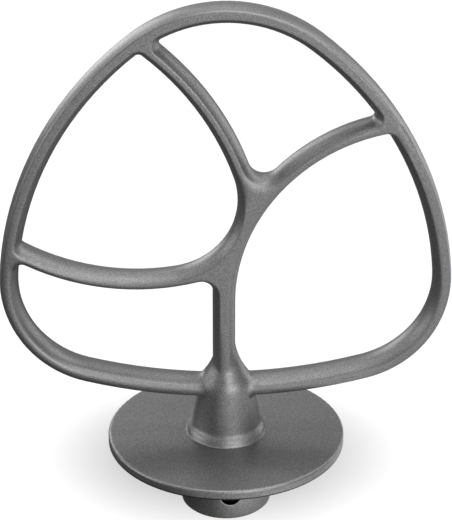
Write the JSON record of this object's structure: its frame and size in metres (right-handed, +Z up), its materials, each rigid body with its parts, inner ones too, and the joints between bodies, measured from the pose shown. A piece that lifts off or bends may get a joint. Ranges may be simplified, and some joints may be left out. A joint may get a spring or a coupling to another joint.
{
  "type": "stand mixer flat beater",
  "caption": "Cast aluminium flat beater with a skewed open-spoke paddle, splash disc and bayonet drive collar, coated dark grey, standing on its collar",
  "frame": {"origin": "centre of the collar's end face, on the drive axis", "axes": "+Z runs up the drive axis from the collar to the top of the paddle, +X runs across the paddle, and the paddle's front face looks along -Y"},
  "size_m": [0.1398, 0.076, 0.1664],
  "materials": {
    "coated_casting": "satin dark grey metallic coat with a fine speckled grain"
  },
  "bodies": {
    "root": {"beater": "coated_casting"}
  },
  "joints": []
}
